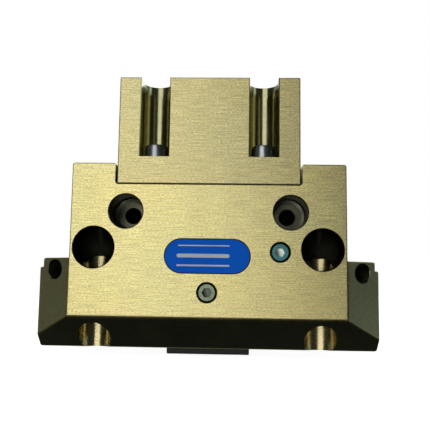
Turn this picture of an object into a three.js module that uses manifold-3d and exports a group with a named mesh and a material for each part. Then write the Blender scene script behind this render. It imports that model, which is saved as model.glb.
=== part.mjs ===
// Two-finger parallel gripper, pneumatic, with a spring pack that helps it to close.
// Millimetres, +Z up. The jaws point down and slide along X; the origin is under the middle of the
// centre cover, on the plane that the cover's face lies in. Rest is the closed gripper.
import * as THREE from 'three';
import { mergeVertices } from 'three/addons/utils/BufferGeometryUtils.js';
import Module from 'manifold-3d';

const wasm = await Module();
wasm.setup();

// ---- driving dimensions ----------------------------------------------------------------------
const GAP = 0.3; // clearance between neighbouring pieces
const PAST = 1; // how far a cutter reaches past the face it cuts

const housing = {
  overallWidth: 100,
  faceWidth: 80,
  depth: 50,
  jawSide: 2.2, // height of the face that the jaws slide in
  bevel: 9.2, // 45 degree bevel along the jaw side, front and back
  top: 56.2,
  wingTop: 28.3,
  wingSetback: 5.65, // how far the wing's outer edge lies behind the front face
  notchWidth: 1.15,
  notchHeight: 2.6,
  recessWidth: 54.6,
  recessFloor: 49.85,
};
const springHousing = {
  width: 53.5,
  top: 82.2,
  roof: 3,
  grooveX: 16.1,
  grooveRadius: 4.26,
  grooveAxisDepth: 5.7, // groove axis behind the front or back face
  grooveFloor: 58.2,
};
const front = {
  mountHole: { x: 33, z: 31.4, radius: 6, depth: 8.7, tipRadius: 0.5, tipDepth: 12 },
  airPort: { x: 23.9, z: 42, radius: 5, depth: 13.5, threadRadius: 2.1, threadDepth: 20 },
  upperPlug: { x: 20.9, z: 30.55 },
  lowerPlug: { x: 0, z: 18.8 },
  label: { z: 29.2, width: 24.4, height: 9.6, thickness: 0.5 },
};
const plug = {
  radius: 2.5,
  length: 5,
  chamfer: 0.3,
  holeRadius: 2.8,
  holeDepth: 6.5,
  socket: 1.4,
  socketDepth: 2.5,
};
const sidePlug = {
  radius: 2,
  length: 4.5,
  chamfer: 0.3,
  holeRadius: 2.3,
  holeDepth: 5.5,
  socket: 1.1,
  socketDepth: 2,
};
const wingHole = { x: 44.75, z: 24.9, radius: 2.7, depth: 9 };
const verticalHole = { x: 33, y: 18.75, wideRadius: 4.75, wideTop: 31.4, radius: 2.75 };

const stroke = 10; // travel of each jaw
const lift = 12; // travel of the piston
const slope = stroke / lift;
const wedge = {
  bottom: 8.5,
  top: 26,
  topHalfWidth: 4,
  halfDepth: 6.5,
  neck: 2.5, // how far the rail's neck reaches from the flank
  neckHalfDepth: 2.5,
  head: 5, // how far the rail's head reaches from the flank
  rootOverlap: 3, // how far the shank's root reaches into the core
};
const flankGap = 0.4; // along X between wedge hook and jaw
const jaw = {
  inner: 13,
  outer: 40,
  face: 2.5,
  neckHalfDepth: 7,
  neckTop: 7.5,
  flangeHalfDepth: 12,
  flangeTop: 14,
  hookHalfDepth: 9,
  hookOuter: 28,
  threadX: [19, 33.5],
  threadRadius: 2.6,
  threadDepth: 5.4,
  sleeveRadius: 4,
  sleeveDepth: 1.5,
};
const rod = { radius: 6, sealOuter: 8.7, sealSeatInset: 0.8, sealInset: 1.1 };
const piston = {
  radius: 17.7,
  bottom: 42.6,
  thickness: 9,
  boreRadius: 18,
  chamfer: 1.5,
  sealGroove: { inner: 15.4, from: 1.8, to: 4.4 },
  magnetGroove: { inner: 15.2, from: 5.2, to: 7.5 },
};
const magnet = { inner: 15.5, outer: 17.4, from: 5.5, to: 7.2 };
const pistonSeal = { inner: 15.7, body: 17.2, lip: 17.8, from: 2.1, to: 4.1, lipInset: 0.4 };
const sealWall = { bottom: 38.5, top: 42.3 };
const screwM6 = { radius: 3, headRadius: 5, headHeight: 4, length: 17, socket: 2.5, socketDepth: 2.2 };
const screwM4 = { radius: 2, headRadius: 3.5, headHeight: 4, length: 18, socket: 1.5, socketDepth: 2.2 };
const cover = { width: 25.1, depth: 22.8, thickness: 4, screwX: 9.5, screwY: 9.3 };
const coverScrew = {
  radius: 1,
  headRadius: 1.6,
  headHeight: 1.3,
  length: 4.2,
  socket: 0.6,
  socketDepth: 0.7,
  headBelowFace: 0.2,
  recess: 0.5, // how much deeper the head's recess is than the head is high
};
const outerSpring = { radius: 13.5, wire: 1.5, turns: 5 };
const innerSpring = { radius: 8.7, wire: 1, turns: 7 };
const mainRing = { radius: 20.2, wire: 0.9 };
const transferRing = { radius: 1.75, wire: 0.42, seatRadius: 2.45, seatDepth: 1.3 };
const passage = { radius: 1.2, y: -8, lowerChamberZ: 43.4, upperChamberZ: 66 };

const halfDepth = housing.depth / 2;
const boreTop = springHousing.top - springHousing.roof;
const blockBottom = housing.recessFloor + GAP;
const pistonTop = piston.bottom + piston.thickness;

// ---- materials -------------------------------------------------------------------------------
const finish = (color, metalness, roughness) =>
  new THREE.MeshStandardMaterial({ color, metalness, roughness });
const materials = {
  housing: finish(0xb3a672, 0.9, 0.42),
  springHousing: finish(0xa39a72, 0.9, 0.45),
  jaw: finish(0x8d9094, 0.9, 0.35),
  wedge: finish(0x55585c, 0.9, 0.4),
  piston: finish(0xc4c7ca, 0.9, 0.3),
  screw: finish(0x4a4c4e, 0.9, 0.35),
  spring: finish(0x6d7074, 0.9, 0.35),
  rubber: finish(0x161616, 0, 0.8),
  magnet: finish(0x2b2c30, 0.6, 0.5),
  cover: finish(0x1e211f, 0.3, 0.55),
  label: finish(0x1458b8, 0.1, 0.35),
  plug: finish(0x7f908f, 0.9, 0.35),
};

// ---- solids ----------------------------------------------------------------------------------
// Flat sides round a circle: as few as keep the clearances between round pieces.
const sidesFor = (radius) => (radius > 10 ? 32 : radius > 3.5 ? 20 : 12);

function toSolid(geometry) {
  const bare = geometry.clone();
  bare.deleteAttribute('normal');
  bare.deleteAttribute('uv');
  const merged = mergeVertices(bare, 1e-4);
  const mesh = new wasm.Mesh({
    numProp: 3,
    vertProperties: new Float32Array(merged.attributes.position.array),
    triVerts: new Uint32Array(merged.index.array),
  });
  return new wasm.Manifold(mesh);
}

function toGeometry(solid) {
  const mesh = solid.getMesh();
  const geometry = new THREE.BufferGeometry();
  geometry.setAttribute('position', new THREE.BufferAttribute(mesh.vertProperties, 3));
  geometry.setIndex(new THREE.BufferAttribute(mesh.triVerts, 1));
  geometry.computeVertexNormals();
  return geometry;
}

function box(x, y, z) {
  const geometry = new THREE.BoxGeometry(x[1] - x[0], y[1] - y[0], z[1] - z[0]);
  geometry.translate((x[0] + x[1]) / 2, (y[0] + y[1]) / 2, (z[0] + z[1]) / 2);
  return toSolid(geometry);
}

// A round bar between two points.
function bar(radius, from, to, sides = sidesFor(radius), endRadius = radius) {
  const start = new THREE.Vector3(...from);
  const along = new THREE.Vector3(...to).sub(start);
  const geometry = new THREE.CylinderGeometry(endRadius, radius, along.length(), sides);
  geometry.translate(0, along.length() / 2, 0);
  const turn = new THREE.Quaternion().setFromUnitVectors(
    new THREE.Vector3(0, 1, 0),
    along.clone().normalize(),
  );
  geometry.applyQuaternion(turn);
  geometry.translate(start.x, start.y, start.z);
  return toSolid(geometry);
}

// A straight prism on an outline in XY, from one height to another.
function prismZ(points, from, to) {
  const shape = new THREE.Shape(points.map(([x, y]) => new THREE.Vector2(x, y)));
  const geometry = new THREE.ExtrudeGeometry(shape, { depth: to - from, bevelEnabled: false });
  geometry.translate(0, 0, from);
  return toSolid(geometry);
}

// A prism on an outline in XZ, reaching the same distance to both sides of the XZ plane.
function prismY(points, reach) {
  const shape = new THREE.Shape(points.map(([x, z]) => new THREE.Vector2(x, z)));
  const geometry = new THREE.ExtrudeGeometry(shape, { depth: 2 * reach, bevelEnabled: false });
  geometry.translate(0, 0, -reach);
  geometry.rotateX(Math.PI / 2);
  return toSolid(geometry);
}

// A body of revolution about Z on a closed outline of [radius, height] points.
function turned(outline, sides = 32) {
  const points = [...outline, outline[0]].map(([r, z]) => new THREE.Vector2(r, z));
  const geometry = new THREE.LatheGeometry(points, sides);
  geometry.rotateX(Math.PI / 2);
  return toSolid(geometry);
}

// A plain ring about Z.
function ring(inner, outer, from, to) {
  return turned([[inner, from], [outer, from], [outer, to], [inner, to]]);
}

function roundRing(radius, wire, sides, wireSides) {
  const outline = [];
  for (let i = 0; i < wireSides; i += 1) {
    const turn = (2 * Math.PI * i) / wireSides;
    outline.push([radius + wire * Math.cos(turn), wire * Math.sin(turn)]);
  }
  return turned(outline, sides);
}

function allOf(solids) {
  return solids.reduce((sum, solid) => sum.add(solid));
}

const bothSigns = [-1, 1];
const fourCorners = bothSigns.flatMap((sx) => bothSigns.map((sy) => [sx, sy]));

// Half width of the wedge hook's core at a height: it widens towards the jaws.
const flank = (z) => wedge.topHalfWidth + (wedge.top - z) * slope;

// A strip in XZ that follows the wedge's flank, between two distances outside it.
const flankStrip = (side, inner, outer, from, to) => {
  const strip = [
    [flank(from) + inner, from],
    [flank(from) + outer, from],
    [flank(to) + outer, to],
    [flank(to) + inner, to],
  ];
  const points = strip.map(([x, z]) => [side * x, z]);
  return side > 0 ? points : points.reverse();
};

// ---- housing ---------------------------------------------------------------------------------
function wingOutline() {
  const face = housing.faceWidth / 2;
  const edge = housing.overallWidth / 2;
  const setback = halfDepth - housing.wingSetback;
  return [
    [-face, -halfDepth],
    [face, -halfDepth],
    [edge, -setback],
    [edge, setback],
    [face, halfDepth],
    [-face, halfDepth],
    [-edge, setback],
    [-edge, -setback],
  ];
}

function housingBlock() {
  const face = housing.faceWidth / 2;
  const edge = housing.overallWidth / 2;
  const wings = prismZ(wingOutline(), housing.jawSide, housing.wingTop);
  const body = box([-face, face], [-halfDepth, halfDepth], [housing.jawSide, housing.top]);
  const cuts = [];
  for (const side of bothSigns) {
    const wedgeWidth = housing.overallWidth + 2 * PAST;
    const bevelEdge = new THREE.BoxGeometry(wedgeWidth, 4 * housing.bevel, 2 * housing.bevel);
    bevelEdge.translate(0, 0, -housing.bevel);
    bevelEdge.rotateX((side * Math.PI) / 4);
    const middle = housing.bevel / 2;
    bevelEdge.translate(0, side * (halfDepth - middle), housing.jawSide + middle);
    cuts.push(toSolid(bevelEdge));
    const notch = [side * (edge - housing.notchWidth), side * (edge + PAST)].sort((a, b) => a - b);
    const notchBottom = housing.wingTop - housing.notchHeight;
    cuts.push(box(notch, span(halfDepth), [notchBottom, housing.wingTop + PAST]));
  }
  return wings.add(body).subtract(allOf(cuts));
}

// Room for the jaws, the wedge hook, the rod, the piston and the spring housing.
function housingCavities() {
  const past = housing.overallWidth / 2 + PAST;
  const recess = housing.recessWidth / 2;
  const wedgeHalfWidth = flank(wedge.top + GAP - lift) + wedge.head + GAP;
  const wedgeHalfDepth = wedge.halfDepth + 0.5;
  const hookWidth = jaw.hookOuter + stroke + GAP;
  return allOf([
    box(span(past), span(jaw.neckHalfDepth + GAP), [housing.jawSide - PAST, jaw.neckTop]),
    box(span(past), span(jaw.flangeHalfDepth + GAP), [jaw.neckTop - GAP, jaw.flangeTop + GAP]),
    box(span(hookWidth), span(jaw.hookHalfDepth + GAP), [jaw.flangeTop, wedge.top + GAP]),
    box(span(wedgeHalfWidth), span(wedgeHalfDepth), [wedge.top - GAP, sealWall.bottom]),
    bar(rod.radius + GAP, [0, 0, sealWall.bottom - PAST], [0, 0, sealWall.top + PAST]),
    ring(
      rod.radius,
      rod.sealOuter + GAP,
      sealWall.bottom + rod.sealSeatInset,
      sealWall.top - rod.sealSeatInset,
    ),
    bar(piston.boreRadius, [0, 0, sealWall.top], [0, 0, housing.top]),
    box(span(recess), span(halfDepth + PAST), [housing.recessFloor, housing.top + PAST]),
    ring(
      mainRing.radius - mainRing.wire - GAP,
      mainRing.radius + mainRing.wire + GAP,
      housing.recessFloor - 2 * mainRing.wire - GAP,
      housing.recessFloor + PAST,
    ),
    box(
      span(cover.width / 2 + GAP),
      span(cover.depth / 2 + GAP),
      [housing.jawSide - PAST, cover.thickness + GAP],
    ),
  ]);
}

function span(reach) {
  return [-reach, reach];
}

function mountingHoles() {
  const holes = [];
  for (const [sx, sy] of fourCorners) {
    holes.push(crossHole(sx, sy));
    holes.push(wingBore(sx, sy));
    const x = sx * verticalHole.x;
    const y = sy * verticalHole.y;
    holes.push(uprightBar(verticalHole.wideRadius, x, y, 0, verticalHole.wideTop));
    holes.push(uprightBar(verticalHole.radius, x, y, verticalHole.wideTop - PAST, housing.top + PAST));
    const screwX = sx * springHousing.grooveX;
    const screwY = sy * (halfDepth - springHousing.grooveAxisDepth);
    const screwEnd = springHousing.grooveFloor - screwM4.length - 1;
    holes.push(uprightBar(screwM4.radius + GAP, screwX, screwY, screwEnd, housing.top));
    const coverX = sx * cover.screwX;
    const coverY = sy * cover.screwY;
    holes.push(uprightBar(coverScrew.radius + GAP, coverX, coverY, 0, jaw.neckTop));
  }
  return allOf(holes);
}

function uprightBar(radius, x, y, from, to) {
  return bar(radius, [x, y, from], [x, y, to]);
}

// A blind drilled hole in the front or the back face. The vertical hole opens it from below.
function crossHole(sx, sy) {
  const { mountHole } = front;
  const x = sx * mountHole.x;
  const at = (depth) => [x, sy * (halfDepth - depth), mountHole.z];
  const sides = sidesFor(mountHole.radius);
  const wall = bar(mountHole.radius, at(-PAST), at(mountHole.depth), sides);
  const cone = bar(
    mountHole.radius,
    at(mountHole.depth),
    at(mountHole.tipDepth),
    sides,
    mountHole.tipRadius,
  );
  return wall.add(cone);
}

// The threaded hole in a wing stands square to the wing's slanted face.
function wingBore(sx, sy) {
  const rise = housing.wingSetback;
  const run = (housing.overallWidth - housing.faceWidth) / 2;
  const length = Math.hypot(rise, run);
  const inward = new THREE.Vector3((-sx * rise) / length, (-sy * run) / length, 0);
  const setback = (wingHole.x - housing.faceWidth / 2) * (rise / run);
  const mouth = new THREE.Vector3(sx * wingHole.x, sy * (halfDepth - setback), wingHole.z);
  const from = mouth.clone().addScaledVector(inward, -2);
  const to = mouth.clone().addScaledVector(inward, wingHole.depth);
  return bar(wingHole.radius, from.toArray(), to.toArray());
}

// Air ports, the passages behind them, and the plugged ends of the drillings.
function airways() {
  const { airPort } = front;
  const sideFace = housing.faceWidth / 2;
  const cuts = [];
  for (const side of bothSigns) {
    const x = side * airPort.x;
    const passageZ = side < 0 ? passage.lowerChamberZ : airPort.z;
    const passageEnd = side < 0 ? side * (piston.boreRadius - 3) : x;
    const at = (depth) => [x, depth - halfDepth, airPort.z];
    cuts.push(bar(airPort.radius, at(-PAST), at(airPort.depth)));
    cuts.push(bar(airPort.threadRadius, at(0), at(airPort.threadDepth)));
    const along = (px) => [px, passage.y, passageZ];
    cuts.push(bar(passage.radius, along(side * sideFace), along(passageEnd)));
    const plugEnd = side * (sideFace - sidePlug.holeDepth);
    cuts.push(bar(sidePlug.holeRadius, along(side * (sideFace + PAST)), along(plugEnd)));
  }
  const transfer = [airPort.x, passage.y];
  cuts.push(bar(passage.radius, [...transfer, airPort.z], [...transfer, housing.top]));
  cuts.push(bar(
    transferRing.seatRadius,
    [...transfer, housing.recessFloor - transferRing.seatDepth],
    [...transfer, housing.top],
  ));
  return allOf(cuts);
}

// Pocket of the label plate and the two plug holes in the front face.
function frontPockets() {
  const { label, upperPlug, lowerPlug } = front;
  const pocket = stadium(label.width + 2 * GAP, label.height + 2 * GAP, label.thickness + GAP + PAST);
  const cuts = [pocket.translate([0, -halfDepth + label.thickness + GAP, label.z])];
  for (const { x, z } of [upperPlug, lowerPlug]) {
    cuts.push(bar(plug.holeRadius, [x, -halfDepth - PAST, z], [x, plug.holeDepth - halfDepth, z]));
  }
  return allOf(cuts);
}

// A plate with full-round ends in the XZ plane; its back lies at y = 0 and its face at y = -thickness.
function stadium(width, height, thickness) {
  const radius = height / 2;
  const straight = width / 2 - radius;
  const shape = new THREE.Shape();
  shape.moveTo(-straight, -radius);
  shape.lineTo(straight, -radius);
  shape.absarc(straight, 0, radius, -Math.PI / 2, Math.PI / 2, false);
  shape.lineTo(-straight, radius);
  shape.absarc(-straight, 0, radius, Math.PI / 2, 1.5 * Math.PI, false);
  const geometry = new THREE.ExtrudeGeometry(shape, {
    depth: thickness,
    bevelEnabled: false,
    curveSegments: 10,
  });
  geometry.rotateX(Math.PI / 2);
  return toSolid(geometry);
}

function housingSolid() {
  return housingBlock()
    .subtract(housingCavities())
    .subtract(mountingHoles())
    .subtract(airways())
    .subtract(frontPockets());
}

// ---- spring housing --------------------------------------------------------------------------
function springHousingSolid() {
  const half = springHousing.width / 2;
  const cuts = [bar(piston.boreRadius, [0, 0, blockBottom - PAST], [0, 0, boreTop])];
  for (const [sx, sy] of fourCorners) {
    const x = sx * springHousing.grooveX;
    const axisY = sy * (halfDepth - springHousing.grooveAxisDepth);
    const r = springHousing.grooveRadius;
    const open = [axisY, sy * (halfDepth + PAST)].sort((a, b) => a - b);
    const { grooveFloor, top } = springHousing;
    cuts.push(uprightBar(r, x, axisY, grooveFloor, top + PAST));
    cuts.push(box([x - r, x + r], open, [grooveFloor, top + PAST]));
    cuts.push(uprightBar(screwM4.radius + GAP, x, axisY, blockBottom - PAST, grooveFloor + PAST));
  }
  // The air way to the spring side is drilled at a slant from the joint face into the bore.
  const { airPort } = front;
  const distance = Math.hypot(airPort.x, passage.y);
  const wallShare = (piston.boreRadius - 1) / distance;
  const wallPoint = [airPort.x * wallShare, passage.y * wallShare, passage.upperChamberZ + 2];
  cuts.push(bar(passage.radius, [airPort.x, passage.y, blockBottom - 1.5], wallPoint));
  return box([-half, half], span(halfDepth), [blockBottom, springHousing.top]).subtract(allOf(cuts));
}

// ---- moving pieces ---------------------------------------------------------------------------
function jawSolid(side) {
  const reach = [jaw.inner, jaw.outer];
  const floorTop = wedge.bottom - GAP;
  const hookTop = wedge.top - GAP;
  const mirrored = (points) => {
    const moved = points.map(([x, z]) => [side * x, z]);
    return side > 0 ? moved : moved.reverse();
  };
  const neckX = reach.map((x) => side * x).sort((a, b) => a - b);
  const neck = box(neckX, span(jaw.neckHalfDepth), [jaw.face, jaw.neckTop + 0.5]);
  const flange = prismY(
    mirrored([
      [jaw.inner, jaw.neckTop],
      [jaw.outer, jaw.neckTop],
      [jaw.outer, jaw.flangeTop],
      [flank(jaw.flangeTop) + flankGap, jaw.flangeTop],
      [flank(floorTop) + flankGap, floorTop],
      [jaw.inner, floorTop],
    ]),
    jaw.flangeHalfDepth,
  );
  const hook = prismY(
    mirrored([
      [flank(floorTop) + flankGap, floorTop],
      [jaw.hookOuter, floorTop],
      [jaw.hookOuter, hookTop],
      [flank(hookTop) + flankGap, hookTop],
    ]),
    jaw.hookHalfDepth,
  );
  const slot = prismY(
    flankStrip(side, 0, wedge.neck + GAP, floorTop, wedge.top + PAST),
    wedge.neckHalfDepth + GAP,
  );
  const hookRoom = prismY(
    flankStrip(side, wedge.neck - flankGap, wedge.head + flankGap, floorTop, wedge.top + PAST),
    wedge.halfDepth + GAP,
  );
  const cuts = [slot, hookRoom];
  for (const x of jaw.threadX) {
    cuts.push(uprightBar(jaw.threadRadius, side * x, 0, jaw.face - PAST, jaw.face + jaw.threadDepth));
    cuts.push(uprightBar(jaw.sleeveRadius, side * x, 0, jaw.face - PAST, jaw.face + jaw.sleeveDepth));
  }
  return allOf([neck, flange, hook]).subtract(allOf(cuts));
}

function wedgeHookSolid() {
  const shankTop = piston.bottom - GAP;
  const core = prismY(
    [
      [-flank(wedge.bottom), wedge.bottom],
      [flank(wedge.bottom), wedge.bottom],
      [flank(wedge.top), wedge.top],
      [-flank(wedge.top), wedge.top],
    ],
    wedge.halfDepth,
  );
  const rails = bothSigns.flatMap((side) => [
    prismY(flankStrip(side, -1, wedge.neck + 0.1, wedge.bottom, wedge.top), wedge.neckHalfDepth),
    prismY(flankStrip(side, wedge.neck, wedge.head, wedge.bottom, wedge.top), wedge.halfDepth),
  ]);
  const { rootOverlap, topHalfWidth } = wedge;
  const root = uprightBar(topHalfWidth - 0.2, 0, 0, wedge.top - rootOverlap, wedge.top + rootOverlap);
  const shank = uprightBar(rod.radius, 0, 0, wedge.top, shankTop);
  const threadBottom = piston.bottom + pistonScrewSeat() - screwM6.length - 1;
  const thread = uprightBar(screwM6.radius + GAP, 0, 0, threadBottom, shankTop + PAST);
  return allOf([core, ...rails, root, shank]).subtract(thread);
}

// Height of the screw head's seat above the piston's lower face.
function pistonScrewSeat() {
  return piston.thickness - screwM6.headHeight - 0.4;
}

function pistonSolid() {
  const r = piston.radius;
  const hole = screwM6.radius + 0.6;
  const seat = screwM6.headRadius + 0.4;
  const seatZ = pistonScrewSeat() - GAP;
  const { chamfer, sealGroove, magnetGroove } = piston;
  const grooves = [sealGroove, magnetGroove].flatMap(({ inner, from, to }) => [
    [r, from],
    [inner, from],
    [inner, to],
    [r, to],
  ]);
  const outline = [
    [hole, 0],
    [r - chamfer, 0],
    [r, chamfer],
    ...grooves,
    [r, piston.thickness],
    [seat, piston.thickness],
    [seat, seatZ],
    [hole, seatZ],
  ];
  return turned(outline);
}

// Lip seal of the piston, local to the piston's lower face.
function pistonSealSolid() {
  const { inner, body, lip, from, to, lipInset } = pistonSeal;
  return turned([
    [inner, from],
    [body, from],
    [lip, from + lipInset],
    [lip, to - lipInset],
    [body, to],
    [inner, to],
  ]);
}

// Socket-head screw: the head's seat is at z = 0, the shank points down.
function screwSolid(size) {
  const head = bar(size.headRadius, [0, 0, 0], [0, 0, size.headHeight]);
  const shank = bar(size.radius, [0, 0, -size.length], [0, 0, 0.5]);
  return head.add(shank).subtract(socket(size, size.headHeight));
}

// Six-sided socket cut down from a height.
function socket(size, top) {
  const cornerRadius = size.socket / Math.cos(Math.PI / 6);
  return bar(cornerRadius, [0, 0, top - size.socketDepth], [0, 0, top + PAST], 6);
}

// Headless screw with a socket: its outer face is at z = 0, its body points down.
function plugSolid(size) {
  const outline = [
    [0, -size.length],
    [size.radius, -size.length],
    [size.radius, -size.chamfer],
    [size.radius - size.chamfer, 0],
    [0, 0],
  ];
  const points = outline.map(([r, z]) => new THREE.Vector2(r, z));
  const geometry = new THREE.LatheGeometry(points, 12);
  geometry.rotateX(Math.PI / 2);
  return toSolid(geometry).subtract(socket(size, 0));
}

function coverSolid() {
  const block = box(span(cover.width / 2), span(cover.depth / 2), [0, cover.thickness]);
  const holes = fourCorners.flatMap(([sx, sy]) => {
    const x = sx * cover.screwX;
    const y = sy * cover.screwY;
    const headTop = coverScrew.headHeight + coverScrew.recess;
    return [
      uprightBar(coverScrew.radius + GAP, x, y, -PAST, cover.thickness + PAST),
      uprightBar(coverScrew.headRadius + 0.2, x, y, -PAST, headTop),
    ];
  });
  return block.subtract(allOf(holes));
}

// ---- springs ---------------------------------------------------------------------------------
class Coil extends THREE.Curve {
  constructor(radius, turns, height) {
    super();
    Object.assign(this, { radius, turns, height });
  }

  getPoint(t, target = new THREE.Vector3()) {
    const turn = 2 * Math.PI * this.turns * t;
    return target.set(this.radius * Math.cos(turn), this.radius * Math.sin(turn), this.height * t);
  }
}

function springSolid(size) {
  const height = boreTop - pistonTop - 2 * GAP;
  const path = new Coil(size.radius, size.turns, height - 2 * size.wire);
  const section = new THREE.Shape();
  section.absarc(0, 0, size.wire, 0, 2 * Math.PI, false);
  const geometry = new THREE.ExtrudeGeometry(section, {
    steps: size.turns * 12,
    extrudePath: path,
    curveSegments: 3,
    bevelEnabled: false,
  });
  geometry.translate(0, 0, pistonTop + GAP + size.wire);
  return toSolid(geometry);
}

// ---- assembly --------------------------------------------------------------------------------
const gripper = new THREE.Group();
const fixedBody = new THREE.Group();
const pistonBody = new THREE.Group();
const jawBodies = { left: new THREE.Group(), right: new THREE.Group() };
gripper.add(fixedBody, pistonBody, jawBodies.left, jawBodies.right);

function place(parent, name, solid, material, position = [0, 0, 0], rotation = [0, 0, 0]) {
  const mesh = new THREE.Mesh(toGeometry(solid), material);
  mesh.name = name;
  mesh.position.set(...position);
  mesh.rotation.set(...rotation);
  parent.add(mesh);
}

place(fixedBody, 'housing', housingSolid(), materials.housing);
place(fixedBody, 'spring_housing', springHousingSolid(), materials.springHousing);
place(fixedBody, 'outer_spring', springSolid(outerSpring), materials.spring);
place(fixedBody, 'inner_spring', springSolid(innerSpring), materials.spring);
place(
  fixedBody,
  'rod_seal',
  ring(rod.radius + GAP, rod.sealOuter, sealWall.bottom + rod.sealInset, sealWall.top - rod.sealInset),
  materials.rubber,
);
place(
  fixedBody,
  'spring_housing_seal',
  roundRing(mainRing.radius, mainRing.wire, 32, 8),
  materials.rubber,
  [0, 0, housing.recessFloor - mainRing.wire - 0.05],
);
place(
  fixedBody,
  'air_transfer_seal',
  roundRing(transferRing.radius, transferRing.wire, 12, 6),
  materials.rubber,
  [front.airPort.x, passage.y, housing.recessFloor - transferRing.wire - 0.1],
);
place(fixedBody, 'centre_cover', coverSolid(), materials.cover);

const label = front.label;
place(
  fixedBody,
  'label_plate',
  stadium(label.width, label.height, label.thickness),
  materials.label,
  [0, -halfDepth + label.thickness, label.z],
);

const facingFront = [Math.PI / 2, 0, 0];
for (const [name, at] of [['upper_port_plug', front.upperPlug], ['lower_port_plug', front.lowerPlug]]) {
  place(fixedBody, name, plugSolid(plug), materials.plug, [at.x, -halfDepth + GAP, at.z], facingFront);
}
for (const [name, side, z] of [
  ['left_passage_plug', -1, passage.lowerChamberZ],
  ['right_passage_plug', 1, front.airPort.z],
]) {
  const position = [side * (housing.faceWidth / 2 - GAP), passage.y, z];
  const rotation = [0, (side * Math.PI) / 2, 0];
  place(fixedBody, name, plugSolid(sidePlug), materials.screw, position, rotation);
}

fourCorners.forEach(([sx, sy], i) => {
  const x = sx * springHousing.grooveX;
  const y = sy * (halfDepth - springHousing.grooveAxisDepth);
  const seat = springHousing.grooveFloor + GAP;
  place(fixedBody, `spring_housing_screw_${i + 1}`, screwSolid(screwM4), materials.screw, [x, y, seat]);
  const headTop = coverScrew.headHeight + coverScrew.headBelowFace;
  place(
    fixedBody,
    `cover_screw_${i + 1}`,
    screwSolid(coverScrew),
    materials.screw,
    [sx * cover.screwX, sy * cover.screwY, headTop],
    [Math.PI, 0, 0],
  );
});

place(pistonBody, 'wedge_hook', wedgeHookSolid(), materials.wedge);
const pistonGroup = new THREE.Group();
pistonGroup.position.set(0, 0, piston.bottom);
pistonBody.add(pistonGroup);
place(pistonGroup, 'piston', pistonSolid(), materials.piston);
place(pistonGroup, 'piston_seal', pistonSealSolid(), materials.rubber);
place(
  pistonGroup,
  'piston_magnet',
  ring(magnet.inner, magnet.outer, magnet.from, magnet.to),
  materials.magnet,
);
place(pistonGroup, 'piston_screw', screwSolid(screwM6), materials.screw, [0, 0, pistonScrewSeat()]);

place(jawBodies.left, 'base_jaw_left', jawSolid(-1), materials.jaw);
place(jawBodies.right, 'base_jaw_right', jawSolid(1), materials.jaw);

export default gripper;
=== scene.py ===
import math

import bmesh
import bpy
from mathutils import Matrix, Vector


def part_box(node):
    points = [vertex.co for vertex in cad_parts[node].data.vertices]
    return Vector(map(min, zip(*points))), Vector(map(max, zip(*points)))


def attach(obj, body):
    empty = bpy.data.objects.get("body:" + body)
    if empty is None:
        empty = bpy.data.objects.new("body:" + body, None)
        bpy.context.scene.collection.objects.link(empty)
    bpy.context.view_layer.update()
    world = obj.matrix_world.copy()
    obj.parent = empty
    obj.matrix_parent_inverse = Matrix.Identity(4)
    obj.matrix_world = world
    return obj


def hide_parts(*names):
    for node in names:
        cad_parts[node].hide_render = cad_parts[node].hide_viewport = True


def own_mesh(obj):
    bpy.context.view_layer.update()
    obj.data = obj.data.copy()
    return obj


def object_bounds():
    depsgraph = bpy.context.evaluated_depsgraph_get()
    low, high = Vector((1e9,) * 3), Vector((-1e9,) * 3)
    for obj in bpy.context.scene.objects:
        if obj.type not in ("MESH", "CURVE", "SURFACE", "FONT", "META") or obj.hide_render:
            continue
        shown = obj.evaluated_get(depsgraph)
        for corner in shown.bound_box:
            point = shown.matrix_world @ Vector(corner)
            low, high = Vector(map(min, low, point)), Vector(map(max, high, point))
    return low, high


# Looks of the pneumatic gripper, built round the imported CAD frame. Shapes are worked out in
# millimetres and scaled to metres when a piece is finished.
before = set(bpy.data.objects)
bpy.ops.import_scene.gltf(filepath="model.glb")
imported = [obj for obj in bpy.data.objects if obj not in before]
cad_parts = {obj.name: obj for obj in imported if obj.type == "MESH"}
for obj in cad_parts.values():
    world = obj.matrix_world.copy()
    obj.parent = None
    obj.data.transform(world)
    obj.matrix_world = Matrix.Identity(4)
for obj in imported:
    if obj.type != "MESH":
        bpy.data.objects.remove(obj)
cad_low, cad_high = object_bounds()

MM = 0.001
GAP = 0.3  # clearance between neighbouring pieces, as in the CAD frame
PAST = 1.0  # how far a cutter reaches past the face it cuts
BOTH = (-1, 1)
CORNERS = [(sx, sy) for sx in BOTH for sy in BOTH]


# ---- places read from the frame ----
def box_mm(node):
    """Lowest and highest corner of a CAD node in millimetres."""
    low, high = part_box(node)
    return low / MM, high / MM


def centre_mm(node):
    low, high = box_mm(node)
    return (low + high) / 2


HOUSING_LOW, HOUSING_HIGH = box_mm("housing")
BLOCK_LOW, BLOCK_HIGH = box_mm("spring_housing")
HALF_DEPTH = HOUSING_HIGH.y
JAW_SIDE = HOUSING_LOW.z
HOUSING_TOP = HOUSING_HIGH.z
HALF_WIDTH = HOUSING_HIGH.x

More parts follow.
